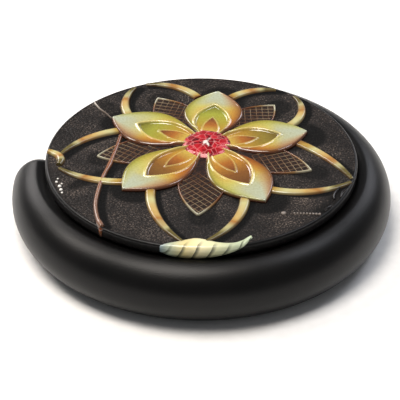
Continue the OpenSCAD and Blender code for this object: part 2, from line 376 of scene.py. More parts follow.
def petal_resin():
    """Clear resin over a printed gradient: brown root, amber, yellow-green, then a pale cream tip; one flank in
    painted shade, ridges in painted highlight.
    """
    made, tree, shader, where = new_material("petal_print_under_resin", Roughness=0.16, Coat_Weight=1.0,
                                             Coat_Roughness=0.05, Specular_IOR_Level=0.5, IOR=1.5)
    value = {k: add_node(tree, "Attribute", attribute_name=k).outputs["Fac"]
             for k in ("along", "across", "cup", "heart", "ridge_glint", "green", "line")}
    wash = add_node(tree, "TexNoise", {"Vector": where, "Scale": per_metre(3), "Detail": 1.0})
    shift = add_node(tree, "Math", {0: wash, 1: 0.24, 2: value["along"]}, operation="MULTIPLY_ADD")
    outer = add_node(tree, "ValToRGB", {"Fac": shift},
                     [(0.3, "#45200a"), (0.42, "#8a4814"), (0.54, "#b87a22"), (0.66, "#c6a03e"), (0.76, "#bcb25c"),
                      (0.88, "#acae8c"), (1.0, "#abb29a")])
    # from the dark amber flank, painted as the shaded side, across to the green one
    rim = add_node(tree, "MapRange", {"Value": value["across"], "From Min": -1.0, "From Max": 1.0})
    flank_tint_and_shade = add_node(tree, "ValToRGB", {"Fac": rim},
                      [(0.0, "#4a2208"), (0.14, "#94500c"), (0.3, "#b47c22"), (0.44, "#bba648"), (0.76, "#b2b266"),
                       (0.9, "#9c9a3c"), (1.0, "#685414")])
    reach = add_node(tree, "Math", {0: value["across"]}, operation="ABSOLUTE")
    side = add_node(tree, "MapRange", {"Value": reach, "From Min": 0.3, "From Max": 0.9, "To Max": 0.95})
    cup_amber = add_node(tree, "ValToRGB", {"Fac": value["along"]},
                         [(0.2, "#b8963a"), (0.36, "#a8701e"), (0.52, "#74380c"), (0.72, "#522206")])
    cup_green = add_node(tree, "ValToRGB", {"Fac": value["along"]},
                         [(0.2, "#b07c26"), (0.4, "#a0902c"), (0.56, "#979a32"), (0.72, "#6a681a")])
    cup = add_node(tree, "Mix", {0: value["green"], 6: cup_amber, 7: cup_green}, data_type="RGBA")
    heart = add_node(tree, "ValToRGB", {"Fac": value["along"]},
                     [(0.2, "#c0a848"), (0.34, "#a06018"), (0.5, "#5c2a08")])
    # each zone is laid over the one before
    colour = outer
    # painted highlight: the bead ridges are laid over in pale cream
    for share, zone in ((side, flank_tint_and_shade), (value["cup"], cup), (value["heart"], heart),
                        (value["ridge_glint"], rgb("#dccb80")), (value["line"], rgb("#4a230a"))):
        colour = add_node(tree, "Mix", {0: share, 6: colour, 7: zone}, data_type="RGBA")
    dots = raise_grain(tree, shader, where, 0.25, 0.01)
    halftone = add_node(tree, "ValToRGB", {"Fac": dots}, [(0.3, "#d6cfc0"), (0.6, "#ffffff")])
    colour = add_node(tree, "Mix", {0: 0.5, 6: colour, 7: halftone}, data_type="RGBA", blend_type="MULTIPLY")
    drive(tree, shader, Base_Color=colour)
    return made


def ribbon_resin(name, stops, edge):
    """Clear resin over a printed metal-coloured band: bright middle, sides darkened with painted shade, colour
    drifting along it.
    """
    made, tree, shader, where = new_material(name, Roughness=0.22, Coat_Weight=0.5, Coat_Roughness=0.1, IOR=1.5)
    along, across = (add_node(tree, "Attribute", attribute_name=k).outputs["Fac"] for k in ("along", "across"))
    wash = add_node(tree, "TexNoise", {"Vector": where, "Scale": per_metre(2.5), "Detail": 2.0})
    drift = add_node(tree, "Math", {0: wash, 1: 0.35, 2: along}, operation="MULTIPLY_ADD")
    tint = add_node(tree, "ValToRGB", {"Fac": drift}, stops)
    # painted shade: the band darkens toward both sides, to the edge colour
    side = add_node(tree, "Math", {0: across, 1: 3.0}, operation="POWER")
    flank = add_node(tree, "Math", {0: side}, operation="ABSOLUTE")
    drive(tree, shader, Base_Color=add_node(tree, "Mix", {0: flank, 6: tint, 7: rgb(edge)}, data_type="RGBA"))
    raise_grain(tree, shader, where, 0.25, 0.015)
    return made


def lace_ground():
    """Printed brown leaf under thin resin: coffee brown with gold flecks."""
    made, tree, shader, where = new_material("lace_leaf_print", Roughness=0.4, Coat_Weight=0.1, Coat_Roughness=0.15,
                                             Specular_IOR_Level=0.25, IOR=1.5)
    fleck = add_node(tree, "TexNoise", {"Vector": where, "Scale": per_metre(0.3), "Detail": 4.0, "Roughness": 0.7})
    tint = add_node(tree, "ValToRGB", {"Fac": fleck},
                    [(0.36, "#0e0705"), (0.52, "#21130d"), (0.66, "#43291b"), (0.8, "#856038")])
    bump = add_node(tree, "Bump", {"Height": fleck, "Distance": 0.04 * MM})
    drive(tree, shader, Base_Color=tint, Normal=bump)
    return made


def gem_resin():
    """Cast red resin stone: ruby chips with painted pink light along their seams, and a painted white star of glints
    at the crown.
    """
    made, tree, shader, where = new_material("red_resin_gem", Roughness=0.22, Coat_Weight=0.25, Coat_Roughness=0.1,
                                             Specular_IOR_Level=0.3, IOR=1.5)
    tone, crown = (add_node(tree, "Attribute", attribute_name=k).outputs["Fac"] for k in ("tone", "crown"))
    chips = add_node(tree, "TexVoronoi", {"Vector": where, "Scale": per_metre(0.9)}).outputs["Color"]
    blend = add_node(tree, "Math", {0: chips, 1: 0.45, 2: tone}, operation="MULTIPLY_ADD")
    red = add_node(tree, "ValToRGB", {"Fac": blend},
                   [(0.15, "#360107"), (0.4, "#6e0510"), (0.62, "#9c0c19"), (0.85, "#b6222e"), (1.0, "#cc5c60")])
    # painted light: pale pink along the seams between chips
    seams = add_node(tree, "TexVoronoi", {"Vector": where, "Scale": per_metre(0.9)}, feature="DISTANCE_TO_EDGE")
    glow = add_node(tree, "MapRange", {"Value": seams, "From Max": 0.06, "To Min": 0.6, "To Max": 0.0})
    edged = add_node(tree, "Mix", {0: glow, 6: red, 7: rgb("#dc8a8a")}, data_type="RGBA")
    # painted highlight: a white star of glints at the crown
    sparkle = add_node(tree, "TexNoise", {"Vector": where, "Scale": per_metre(0.4), "Detail": 3.0})
    star = add_node(tree, "Math", {0: sparkle, 1: 0.6, 2: crown}, operation="MULTIPLY_ADD")
    star_glint = add_node(tree, "MapRange", {"Value": star, "From Min": 0.8, "From Max": 1.0})
    drive(tree, shader, Base_Color=add_node(tree, "Mix", {0: star_glint, 6: edged, 7: rgb("#dccfc8")}, data_type="RGBA"))
    return made


def striped_cream():
    """Printed cream leaf under resin, with grey-green ends and dark slanting veins."""
    made, tree, shader, where = new_material("cream_leaf_print", Roughness=0.3, Coat_Weight=0.4, Coat_Roughness=0.1,
                                             IOR=1.5)
    along, across = (add_node(tree, "Attribute", attribute_name=k).outputs["Fac"] for k in ("along", "across"))
    ends = add_node(tree, "ValToRGB", {"Fac": along},
                    [(0.0, "#6f8288"), (0.1, "#a9b39a"), (0.26, "#d9c98e"), (0.42, "#e6dcb0"), (0.6, "#cfd0a6"),
                     (0.8, "#b4bfa0"), (1.0, "#c3cfae")])
    slant = add_node(tree, "Math", {0: across, 1: 0.14, 2: along}, operation="MULTIPLY_ADD")
    veins = add_node(tree, "Math", {0: slant, 1: 6.5}, operation="MULTIPLY")
    cycle = add_node(tree, "Math", {0: veins}, operation="FRACT")
    line = add_node(tree, "ValToRGB", {"Fac": cycle}, [(0.0, 0.95), (0.12, 0.8), (0.3, 0.0), (0.88, 0.0)])
    lower = add_node(tree, "MapRange", {"Value": across, "From Min": 0.2, "From Max": 0.6})
    vein = add_node(tree, "Math", {0: line, 1: lower}, operation="MULTIPLY")
    drive(tree, shader, Base_Color=add_node(tree, "Mix", {0: vein, 6: ends, 7: rgb("#3c412f")}, data_type="RGBA"))
    raise_grain(tree, shader, where, 0.25, 0.015)
    return made


def speckled(name, low, high, size_mm, depth_mm, rough=(0.4, 0.6), **surface):
    """A plain finish with colour, gloss and height varied by one noise, such as a coat, rubber or cast plastic."""
    made, tree, shader, where = new_material(name, **surface)
    grain = raise_grain(tree, shader, where, size_mm, depth_mm, 3.0)
    tint = add_node(tree, "ValToRGB", {"Fac": grain}, [(0.35, low), (0.65, high)])
    gloss = add_node(tree, "MapRange", {"Value": grain, "To Min": rough[0], "To Max": rough[1]})
    drive(tree, shader, Base_Color=tint, Roughness=gloss)
    return made


def turned_steel():
    """Turned and brushed steel: fine parallel scratches that stretch the highlight."""
    made, tree, shader, where = new_material("turned_steel", Metallic=1.0, Roughness=0.3)
    stretch = add_node(tree, "Mapping", {"Vector": where, "Scale": (1.0, 1.0, 14.0)})
    lines = add_node(tree, "TexNoise", {"Vector": stretch, "Scale": per_metre(0.8), "Detail": 3.0})
    tint = add_node(tree, "ValToRGB", {"Fac": lines}, [(0.3, "#8b8b8c"), (0.7, "#c6c6c6")])
    gloss = add_node(tree, "MapRange", {"Value": lines, "To Min": 0.24, "To Max": 0.4})
    bump = add_node(tree, "Bump", {"Height": lines, "Distance": 0.01 * MM})
    drive(tree, shader, Base_Color=tint, Roughness=gloss, Normal=bump)
    return made


# ---------------------------------------------------------------- camera, floor and light

VIEW_ELEVATION = 33.0
VIEW_DISTANCE = 12 * DISC_R
VIEW_LENS = 168.5
AIM_BELOW = 1.32         # degrees that the lens points below the middle of the face
AIM_LEFT = 0.05


def make_camera():
    camera = put("camera", bpy.data.cameras.new("camera"))
    rise = math.radians(VIEW_ELEVATION)
    camera.location = (0, -VIEW_DISTANCE * math.cos(rise) * MM, (FACE_Z + VIEW_DISTANCE * math.sin(rise)) * MM)
    camera.rotation_euler = (math.radians(90 - VIEW_ELEVATION - AIM_BELOW), 0, math.radians(AIM_LEFT))
    camera.data.lens = VIEW_LENS
    camera.data.clip_start = 0.01
    camera.data.clip_end = 10
    bpy.context.scene.camera = camera


def make_light(name, place_m, size, watts, colour):
    """A square soft box aimed at the object."""
    lamp = bpy.data.lights.new(name, "AREA")
    lamp.size = size
    lamp.energy = watts
    lamp.color = rgb(colour)[:3]
    box = put(name, lamp)
    box.location = place_m
    box.rotation_euler = (Vector((0, 0, 0.005)) - Vector(place_m)).to_track_quat("-Z", "Y").to_euler()


def make_studio():
    floor_mat, tree, shader, where = new_material("pale_paper_sweep", Roughness=0.8, Specular_IOR_Level=0.2)
    fibre = add_node(tree, "TexNoise", {"Vector": where, "Scale": per_metre(1.5), "Detail": 3.0})
    tint = add_node(tree, "ValToRGB", {"Fac": fibre}, [(0.3, "#f0f0ef"), (0.7, "#f6f6f5")])
    drive(tree, shader, Base_Color=tint)
    mesh = bpy.data.meshes.new("floor")
    half = 1.5
    mesh.from_pydata([(-half, -half, 0), (half, -half, 0), (half, half, 0), (-half, half, 0)], [], [(0, 1, 2, 3)])
    mesh.materials.append(floor_mat)
    floor = put("floor", mesh)
    # a hair below the pad, so that the two faces never coincide
    floor.location.z = pad_low.z * MM - 0.00005
    world = bpy.data.worlds.new("studio")
    bpy.context.scene.world = world
    world.use_nodes = True
    backdrop = world.node_tree.nodes["Background"].inputs
    backdrop["Color"].default_value = rgb("#f2f4f8")
    backdrop["Strength"].default_value = 0.22
    make_light("key_overhead", (-0.07, -0.05, 0.42), 0.2, 1.6, "#fff8f0")
    make_light("fill_left", (-0.30, 0.10, 0.38), 0.16, 1.0, "#fff8f0")
    make_light("fill_right", (0.23, 0.11, 0.42), 0.16, 0.5, "#f4f6ff")
    make_light("back_left", (-0.26, 0.36, 0.24), 0.2, 0.8, "#fbf6f4")
    make_light("back_right", (0.30, 0.42, 0.28), 0.2, 0.5, "#f4f6ff")
    bpy.context.scene.view_settings.view_transform = "Standard"


# ---------------------------------------------------------------- the arm


def oval_half(inset, count):
    """Outer half of the arm's section, bottom to top, as (distance out from the centre line, height) pairs."""
    lean = ROD_R - OVAL_HALF
    ridge_z = math.sqrt((ROD_R - OVAL_RIDGE) ** 2 - lean ** 2)
    meet = math.atan2(ridge_z, lean)
    points = []
    for i in range(count):
        turn = -math.pi / 2 + math.pi * i / (count - 1)
        radius, x, z = ROD_R, -lean, 0.0
        if abs(turn) > meet:
            radius, x, z = OVAL_RIDGE, 0.0, math.copysign(ridge_z, turn)
        points.append((x + (radius - inset) * math.cos(turn), z + (radius - inset) * math.sin(turn)))
    return points


def make_arm():
    """The soft-touch sleeve: an oval swept round the disc, with a domed free end and a rounded cut end."""
    count, steps, turns, soft = 61, 180, 30, 0.35
    shape = Shape()
    rings = []
    stations = [(TIP_ANGLE + (SLEEVE_END - 1 - TIP_ANGLE) * i / steps, 0.0) for i in range(steps + 1)]
    soft_angle = math.degrees(soft / ARM_MID)
    stations += [(SLEEVE_END - soft_angle * (1 - math.sin(t)), soft * (1 - math.cos(t)))
                 for t in (math.pi / 2 * k / 5 for k in range(6))]
    for angle, inset in stations:
        a = math.radians(angle)
        half = oval_half(inset, count)
        section = half + [(-x, z) for x, z in half[-2:0:-1]]
        rings.append([((ARM_MID + x) * math.cos(a), (ARM_MID + x) * math.sin(a), ARM_Z + z) for x, z in section])
    shape.loft(rings, caps=False)
    last = len(shape.points) - len(rings[0])
    shape.faces.append(tuple(range(last, len(shape.points))))
    # the domed end: the outer half of the section turned about the upright line through its middle
    a = math.radians(TIP_ANGLE)
    dome_x, dome_y = ARM_MID * math.cos(a), ARM_MID * math.sin(a)
    cap = [(dome_x + x * math.cos(a - math.pi * k / turns), dome_y + x * math.sin(a - math.pi * k / turns), ARM_Z + z)
           for k in range(turns + 1) for x, z in oval_half(0.0, count)]
    shape.add(cap, [(r * count + j, r * count + j + 1, (r + 1) * count + j + 1, (r + 1) * count + j)
                    for r in range(turns) for j in range(count - 1)])
    shape.piece("soft_touch_sleeve", [soft_touch()], "hook", "soft_touch", ["hook_sleeve"], weld=0.004)


# ---------------------------------------------------------------- the face


def shadow_strokes():
    """Where the skin is darkened, by painted shadows and three dark streaks: a path, its half-width, the width of its
    soft edge and its strength.
    """
    strokes = []
    offset = Vector((0.75, -0.45))
    # painted shadows offset down and to the right of each ribbon and of the twig
    for start, middle, end in RIBBONS:
        strokes.append(([p + offset for p in arc_points(start, middle, end, 24)], 0.5, 0.3, 1.0))
    strokes.append(([p + Vector((0.75, -0.1)) for p in curve_points(TWIG, 40)], 0.4, 0.25, 1.0))
    # three dark streaks: at the left, at the upper left and at the lower right
    strokes.append((curve_points([(-15.6, -6.4), (-13.2, -4.6), (-9.9, -1.9)], 20), 0.6, 0.7, 0.85))
    strokes.append((curve_points([(-12.6, 12.4), (-11.0, 10.6), (-10.2, 9.4)], 20), 0.8, 0.8, 0.7))
    strokes.append((curve_points([(16.8, -8.6), (15.9, -10.6), (14.6, -12.2)], 20), 0.7, 0.9, 0.8))
    # painted shadow under each lace leaf and petal, from a share of its length outward
    under = [(tip, 0.55, 0.45, offset * 0.6, (1.5, 0.5, 0.75)) for tip in LACE_TIPS]
    under += [(tip, 0.3, 0.6, Vector((0.5, -0.4)), (2.9, 0.6, 0.9)) for tip, _ in PETALS]
    for tip, start, reach, shift, look in under:
        axis = Vector(tip) - FLOWER
        strokes.append(([FLOWER + axis * (start + reach * k / 15) + shift for k in range(16)], *look))
    return strokes


def make_skin(materials):
    """The embossed skin: a finely divided face, a rounded edge and the side, closed over the plate."""
    profile = [(r, FACE_Z) for r in np.arange(0.0, DISC_R - EDGE_ROUND, 0.2)]
    profile += [(DISC_R - EDGE_ROUND + EDGE_ROUND * math.sin(t), FACE_Z - EDGE_ROUND + EDGE_ROUND * math.cos(t))
                for t in (math.pi / 2 * k / 6 for k in range(7))]
    profile += [(DISC_R, z) for z in np.linspace(FACE_Z - EDGE_ROUND, SKIN_LOW + 0.1, 6)[1:]]
    profile += [(DISC_R - 0.1, SKIN_LOW), (0.0, SKIN_LOW)]
    count = 512
    rings = np.array(lathe(profile, count))
    flat = rings.reshape(-1, 3)
    shade = np.zeros(len(flat))
    # painted shadow: each stroke darkens the skin within its half-width, fading over its soft edge
    for path, half, soft, depth in shadow_strokes():
        way = np.array([tuple(p) for p in path])
        gap = np.min(np.hypot(flat[:, None, 0] - way[None, :, 0], flat[:, None, 1] - way[None, :, 1]), axis=1)
        shade = np.maximum(shade, depth * np.clip((half + soft - gap) / soft, 0, 1))
    on_top = np.hypot(flat[:, 0], flat[:, 1]) < DISC_R - EDGE_ROUND
    for i in np.nonzero(on_top & (flat[:, 2] > SKIN_LOW + 0.5))[0]:
        x, y, z = flat[i]
        grain = noise.noise((x / 0.45, y / 0.45, 0)) + 0.5 * noise.noise((x / 0.22, y / 0.22, 7))
        flat[i, 2] = z + 0.022 * grain - 0.025
    shape = Shape()
    shape.loft(flat.reshape(rings.shape).tolist(), caps=False, shade=shade.tolist())
    edge_at = DISC_R - EDGE_ROUND * 0.9
    shape.piece("embossed_skin", materials, "disc", "embossed_skin", ["face_skin"], sharp=50,
                face_material=lambda c: 1 if math.hypot(c.x, c.y) > edge_at or c.z < SKIN_LOW + 0.3 else 0)


def leaf_half(share, width, fullness=1.27):
    """Half-width of a petal or leaf at a share of its length: widest past the middle, pointed at the tip."""
    if not 0 < share < 1:
        return 0.0
    return width * math.sin(math.pi * share ** fullness) ** 0.85


# lengths are shares of the petal's, everything else is in millimetres
CUP_LENGTH, CUP_HALF, CUP_DEPTH = 0.73, 2.3, 0.2
HEART_LENGTH, HEART_HALF, HEART_RISE = 0.5, 1.0, 0.12
PETAL_RISE, PETAL_ROUND = 0.34, 0.45
LIP_RISE, LIP_AT, LIP_W = 0.1, 0.36, 0.2
BEAD_RISE, CUP_BEAD_W, HEART_BEAD_W = 0.17, 0.16, 0.13


def outline_gap(share, off, length, reach, width):
    """Signed distance from points of a petal to the outline of its cup or heart: negative inside."""
    stops = np.linspace(0, 1, 200)
    along = stops * reach * length
    out = np.array([leaf_half(t, width) for t in stops])
    gap = np.min(np.hypot((share * length)[..., None] - along, np.abs(off)[..., None] - out), axis=-1)
    inside = np.abs(off) < np.interp(share / reach, stops, out, right=0.0)
    return np.where(inside, -gap, gap)


def make_petal(name, tip, green, lift, material, stands_for=()):
    """A raised petal with a hollow cup and a small heart in it, each edged by a rounded bead."""
    axis = Vector(tip) - FLOWER
    length = axis.length
    axis.normalize()
    side = Vector((-axis.y, axis.x))
    rows, columns = 120, 61
    share = np.repeat((0.1 + 0.9 * np.arange(rows + 1) / rows)[:, None], columns, axis=1)
    half = np.array([[leaf_half(t, PETAL_HALF)] * columns for t in share[:, 0]])
    v = np.tile(np.linspace(-1, 1, columns), (rows + 1, 1))
    off = v * half
    inside = (1 - np.abs(v)) * half
    rim = np.minimum(1.0, inside / PETAL_ROUND)
    cup_gap = outline_gap(share, off, length, CUP_LENGTH, CUP_HALF)
    heart_gap = outline_gap(share, off, length, HEART_LENGTH, HEART_HALF)
    bead = np.exp(-(cup_gap / CUP_BEAD_W) ** 2) + 0.8 * np.exp(-(heart_gap / HEART_BEAD_W) ** 2)
    step = np.vectorize(smooth_step)
    height = PETAL_RISE * np.sqrt(1 - (1 - rim) ** 2) + LIP_RISE * np.exp(-((inside - LIP_AT) / LIP_W) ** 2)
    height += (BEAD_RISE * bead - CUP_DEPTH * step(-cup_gap, 0.0, 0.4)
               + HEART_RISE * step(-heart_gap, 0.0, 0.35)) * rim
    height = np.where(np.abs(v) == 1, -SINK, height + lift) + FACE_Z
    rings = [[(*(FLOWER + axis * share[i, j] * length + side * off[i, j]), height[i, j]) for j in range(columns)]
             for i in range(rows + 1)]
    # painted shade: the dark amber flank is put on the side that faces the lower right of the face
    shaded_side = 1 if side.dot(Vector((1, -1))) < 0 else -1
    values = {"along": share, "across": v * shaded_side, "cup": step(-cup_gap, 0.0, 0.2),
              "heart": step(-heart_gap, 0.0, 0.15), "ridge_glint": 0.75 * np.minimum(1.0, bead) ** 2,
              "green": np.full(share.shape, green), "line": np.exp(-((inside - 0.03) / 0.19) ** 2)}
    # painted highlight: the bead ridges get a pale colour
    shape = Shape()
    shape.loft(rings, **{key: numbers.ravel().tolist() for key, numbers in values.items()})
    shape.piece(name, [material], "disc", "petal_relief", stands_for, weld=0.002, sharp=180)


def make_flower():
    resin = petal_resin()
    for k, (tip, green) in enumerate(PETALS):
        # neighbours differ a little in height, so that no two surfaces coincide where they meet
        make_petal(f"petal_{k + 1}", tip, green, 0.012 * (k % 3), resin, ["flower_petals"] if k == 0 else ())


def make_gem():
    """A faceted dome: rows of flat chips, turned half a step from row to row, each tilted a little."""
    count = 18
    rows = [(GEM_R, -SINK), (GEM_R, 0.18), (0.86 * GEM_R, 0.46), (0.62 * GEM_R, 0.66), (0.36 * GEM_R, 0.76),
            (0.12 * GEM_R, GEM_H - 0.02)]
    points = []
    for r, (radius, height) in enumerate(rows):
        for i in range(count):
            angle = 2 * math.pi * (i + 0.5 * (r % 2)) / count
            wobble = noise.noise((i * 1.7, r * 2.3, 4)) if r > 1 else 0
            out = radius * (1 + 0.05 * wobble)
            points.append((FLOWER.x + out * math.cos(angle), FLOWER.y + out * math.sin(angle),
                           FACE_Z + min(GEM_H, height + 0.07 * wobble)))
    points.append((FLOWER.x, FLOWER.y, FACE_Z + GEM_H))
    faces = []
    for r in range(len(rows) - 1):
        for i in range(count):
            a, b = r * count + i, r * count + (i + 1) % count
            shift = i if r % 2 == 0 else (i + 1) % count
            c, d = (r + 1) * count + shift, (r + 1) * count + (shift - 1) % count
            faces += [(a, b, c), (a, c, d)]
    last = (len(rows) - 1) * count
    faces += [(last + i, last + (i + 1) % count, len(points) - 1) for i in range(count)]
    faces.append(tuple(reversed(range(count))))
    # facets share no points, so each chip keeps its own tone
    shape = Shape()
    for n, face in enumerate(faces):
        corners = [points[i] for i in face]
        middle = sum((Vector(c) for c in corners), Vector()) / len(corners)
        out = math.hypot(middle.x - FLOWER.x, middle.y - FLOWER.y) / GEM_R
        tone = 0.34 + 0.42 * noise.noise((n * 0.71, 3.3, out * 9))
        # painted highlight: crown marks where the white star of glints is painted
        crown = []
        for x, y, _ in corners:
            lean = Vector((x - FLOWER.x, y - FLOWER.y + 0.5))
            rays = 0.2 * math.cos(5 * math.atan2(lean.y, lean.x))
            crown.append(max(0.0, 0.7 + rays - lean.length / GEM_R * 1.05))
        shape.add(corners, [tuple(range(len(corners)))], tone=[tone] * len(corners), crown=crown)
    shape.piece("faceted_gem", [gem_resin()], "disc", "gem_resin", ["flower_gem"], flat=True, weld=0.0)


def under_petal(point, margin=0.3):
    """Whether a point of the face lies under a petal, at least this far in from its outline."""
    for tip, _ in PETALS:
        axis = Vector(tip) - FLOWER
        share = (point - FLOWER).dot(axis) / axis.length_squared
        off = abs(axis.x * (point - FLOWER).y - axis.y * (point - FLOWER).x) / axis.length
        if off < leaf_half(share, PETAL_HALF) - margin:
            return True
    return False


def open_runs(points):
    """The stretches of a path that no petal covers, as separate paths."""
    runs, run = [], []
    for p in [*points, None]:
        if p is None or under_petal(p):
            if len(run) > 3:
                runs.append(run)
            run = []
        else:
            run.append(p)
    return runs


# millimetres; the lattice's wires are PITCH apart and are stepped along by WIRE_STEP
LACE_THICK = 0.1
BORDER_W, BORDER_H, BORDER_INSET = 0.32, 0.24, 0.12
WIRE_W, WIRE_H, WIRE_STEP, PITCH = 0.13, 0.16, 0.25, 1.1


def make_lace(ground, gold, lattice_print):
    """Dark leaves between the petals, with a gold border and a gold lattice."""
    for k, tip in enumerate(LACE_TIPS):
        axis = Vector(tip) - FLOWER
        length = axis.length
        axis.normalize()
        side = Vector((-axis.y, axis.x))
        half = lambda s: leaf_half(s, LEAF_HALF, 1.15)
        spot = lambda s, off: FLOWER + axis * s * length + side * off
        leaf = Shape()
        leaf.loft([[(*spot(share, v * half(share)), FACE_Z + (-SINK if abs(v) == 1 else LACE_THICK))
                    for v in (-1 + 2 * j / 12 for j in range(13))]
                   for share in (0.2 + 0.8 * i / 40 for i in range(41))])
        leaf.piece(f"lace_leaf_{k + 1}", [ground], "disc", "lace_relief", ["lace_leaves"] if k == 0 else (),
                   weld=0.002, sharp=40)
        border, lattice = Shape(), Shape()
        for sign in (-1, 1):
            line = [spot(s, sign * (half(s) - BORDER_INSET)) for s in (0.3 + 0.695 * i / 80 for i in range(81))]
            for run in open_runs(line):
                raised_strip(border, run, lambda s: BORDER_W, lambda s: BORDER_H, steps=7)
        border.piece(f"lace_border_{k + 1}", [gold], "disc", "lace_relief")
        for sign in (-1, 1):
            for n in range(-4, 16):
                run = []
                for i in range(49):
                    off = sign * (i * WIRE_STEP - 6)
                    share = (n * PITCH + i * WIRE_STEP - 2) / length
                    if 0.42 < share < 0.99 and abs(off) < half(share) - 0.1:
                        run.append(spot(share, off))
                for part in open_runs(run):
                    raised_strip(lattice, part, lambda s: WIRE_W, lambda s: WIRE_H, steps=5)
        lattice.piece(f"lace_lattice_{k + 1}", [lattice_print], "disc", "lace_relief")


def make_ribbons(gold):
    shape = Shape()
    for start, middle, end in RIBBONS:
        raised_strip(shape, arc_points(start, middle, end, 48), lambda s: RIBBON_W * (1 - 0.62 * s ** 2.2),
                     lambda s: 0.3 * (1 - 0.5 * s ** 4), steps=11, flat_top=0.45)
    raised_strip(shape, curve_points(KNOB, 30), lambda s: 0.6 + 0.65 * math.sin(math.pi * min(1, 0.1 + s * 0.8)),
                 lambda s: 0.38, steps=11, flat_top=0.2)
    shape.piece("gold_ribbons", [gold], "disc", "gold_relief", ["ribbon_loops"])


def make_twigs(copper, silver):
    """The copper twig, with knots, that runs over the edge and down the side, and the pale vein."""
    shape = Shape()
    path = curve_points(TWIG, 70)
    width = lambda s: 0.62 + 0.16 * math.exp(-((s - 0.33) / 0.03) ** 2) + 0.3 * math.exp(-((s - 0.97) / 0.03) ** 2)
    raised_strip(shape, path, width, lambda s: 0.3 + 0.12 * math.exp(-((s - 0.97) / 0.04) ** 2), steps=11)
    # the stretch down the side, hugging the edge
    foot = path[-1]
    bearing = math.atan2(foot.y, foot.x)
    rings, along, across = [], [], []
    for i in range(9):
        z = FACE_Z - 0.1 - TWIG_SIDE * i / 8
        half = 0.34 - 0.12 * i / 8
        lift = 0.16 * (1 - (i / 8) ** 3) + 0.02
        ring = []
        for k in range(7):
            v = -1 + 2 * k / 6
            b = bearing + v * half / DISC_R
            r = DISC_R + (lift * (1 - abs(v) ** 2.4) if abs(v) < 1 else -SINK) - (0.08 if i == 0 else 0)
            ring.append((r * math.cos(b), r * math.sin(b), z))
            along.append(i / 8)
            across.append(v)
        rings.append(ring)
    shape.loft(rings, along=along, across=across)
    shape.piece("copper_twig", [copper], "disc", "copper_relief", ["twigs"])
    vein = Shape()
    raised_strip(vein, curve_points(VEIN, 24), lambda s: 0.3 - 0.1 * s, lambda s: 0.18, steps=7)
    vein.piece("pale_vein", [silver], "disc", "copper_relief")


def edge_profile(s):
    """Radius, height and outward normal at a distance s past the start of the rounded edge, out and then down."""
    if s <= 0:
        return DISC_R - EDGE_ROUND + s, FACE_Z, 0.0, 1.0
    quarter = EDGE_ROUND * math.pi / 2
    if s < quarter:
        t = s / EDGE_ROUND
        return (DISC_R - EDGE_ROUND + EDGE_ROUND * math.sin(t), FACE_Z - EDGE_ROUND + EDGE_ROUND * math.cos(t),
                math.sin(t), math.cos(t))
    return DISC_R, FACE_Z - EDGE_ROUND - (s - quarter), 1.0, 0.0


# bearing, inner limit and outer limit of the cream leaf, as distances past the start of the rounded edge
WING = [(255.6, 0.5, 1.1), (257.5, -0.2, 1.5), (260, -0.6, 1.65), (264, -1.25, 1.7), (268, -1.75, 1.7),
        (272, -1.35, 1.6), (276, -0.75, 1.45), (280, -0.35, 1.15), (283.5, -0.35, 0.7), (286.5, -0.75, 0.1),
        (289, -1.35, -0.9)]


def make_wing(material):
    """The cream leaf that folds over the front edge, with its pointed horn on the face."""
    bearings = np.linspace(WING[0][0], WING[-1][0], 80)
    at, *limits = zip(*WING)
    # a moving average takes the corners out of both limits
    inner, outer = (np.convolve(np.pad(np.interp(bearings, at, limit), 4, "edge"), np.ones(9) / 9, "valid")
                    for limit in limits)
    rings, along, across = [], [], []
    columns = 17
    for i, bearing in enumerate(bearings):
        a = math.radians(bearing)
        top, under = [], []
        end = min(1.0, i / 5, (len(bearings) - 1 - i) / 5)
        for k in range(columns):
            v = k / (columns - 1)
            s = inner[i] + (outer[i] - inner[i]) * v
            r, z, out, up = edge_profile(s)
            thick = 0.2 * (1 - abs(2 * v - 1) ** 4) * (0.3 + 0.7 * end)
            top.append(((r + out * thick) * math.cos(a), (r + out * thick) * math.sin(a), z + up * thick))
            under.append(((r - out * SINK) * math.cos(a), (r - out * SINK) * math.sin(a), z - up * SINK))
        rings.append(top + under[::-1])
        along += [i / (len(bearings) - 1)] * (2 * columns)
        across += [k / (columns - 1) for k in range(columns)] + [1 - k / (columns - 1) for k in range(columns)]
    shape = Shape()
    shape.loft(rings, along=along, across=across)
    shape.piece("cream_leaf", [material], "disc", "cream_relief", ["wing_leaf"])


def make_rim_details(tone_and_glint, glossy, bright):
    """Small embossed marks near the rim: a dotted vein, three glossy buds and a row of drops; the vein's dots and the
    drops are painted pale as glints.
    """
    dots = Shape()
    dome(dots, DOTTED_FROM.x, DOTTED_FROM.y, 0.34, 0.2)
    for k in range(9):
        p = DOTTED_FROM.lerp(DOTTED_TO, 0.3 + 0.7 * k / 8)
        dome(dots, p.x, p.y, 0.13 + 0.008 * k, 0.16)
    dots.piece("rim_embossing", [tone_and_glint], "disc", "embossed_skin")
    buds = Shape()
    for stops, wide, high in (([(17.0, -6.9), (16.2, -8.3), (16.1, -9.6)], 0.5, 0.22),
                              ([(17.9, -7.2), (17.2, -8.0), (16.9, -9.1)], 0.4, 0.2),
                              ([(14.8, -12.0), (15.2, -11.3), (15.9, -10.9)], 0.45, 0.2)):
        raised_strip(buds, curve_points(stops, 16), lambda s: wide * math.sin(math.pi * (0.1 + 0.8 * s)),
                     lambda s: high)
    buds.piece("rim_buds", [glossy], "disc", "embossed_skin")
    drops = Shape()
    for bearing, radius, size in RIM_DROPS:
        a = math.radians(bearing)
        dome(drops, radius * math.cos(a), radius * math.sin(a), size, size * 0.7)
    drops.piece("rim_drops", [bright], "disc", "cream_relief")


# ---------------------------------------------------------------- the underside


